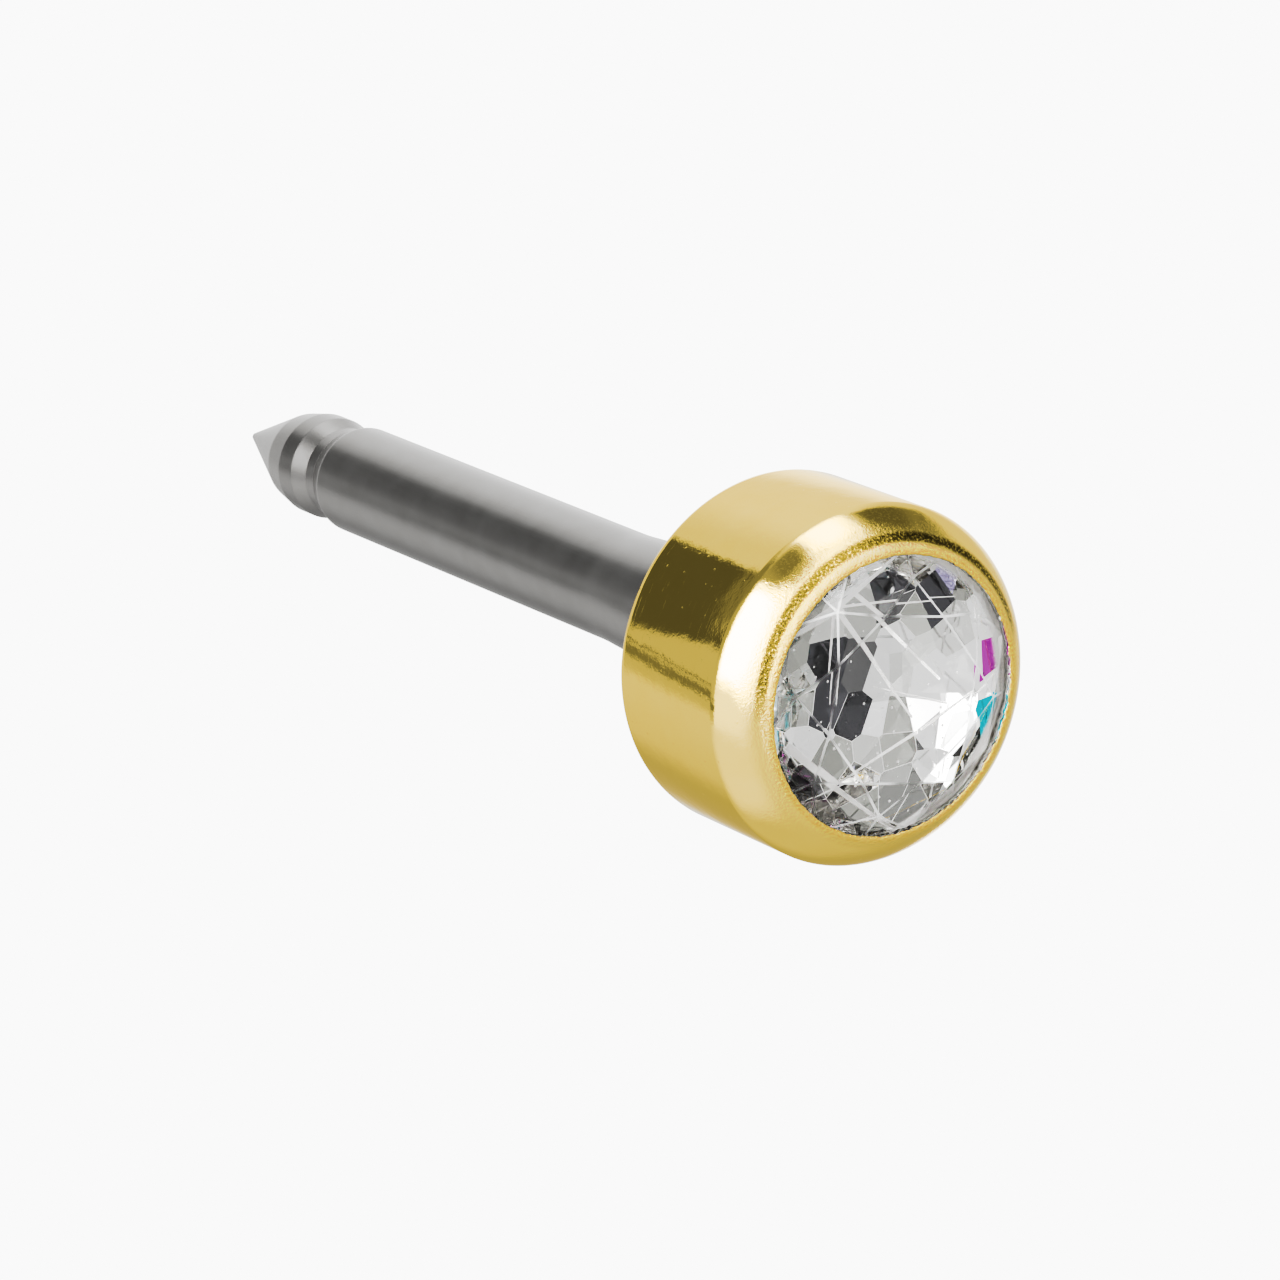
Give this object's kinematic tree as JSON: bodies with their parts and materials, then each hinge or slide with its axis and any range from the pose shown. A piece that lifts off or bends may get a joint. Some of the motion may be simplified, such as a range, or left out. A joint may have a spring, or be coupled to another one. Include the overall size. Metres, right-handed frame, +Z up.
{
  "type": "stud earring",
  "caption": "Stud earring with a round faceted crystal in a plain gold-coloured bezel on a straight steel pin with a grooved, pointed end, lying on its side.",
  "frame": {"origin": "middle of the overall box, on the ground plane that the stud rests on", "axes": "+Z up; +Y along the stud from the stone towards the point; +X to the right when looking at the point from the stone's side. The stud's own axis dips 8.35 degrees towards the point."},
  "size_m": [0.003, 0.01, 0.0031],
  "materials": {
    "gold_plate": "high-polish pale yellow gold plating",
    "crystal_glass": "clear cut glass with a silvered back",
    "steel": "plain polished steel, softer than the head"
  },
  "bodies": {
    "root": {"bezel_cup": "gold_plate", "crystal": "crystal_glass", "ear_post": "steel"}
  },
  "joints": []
}
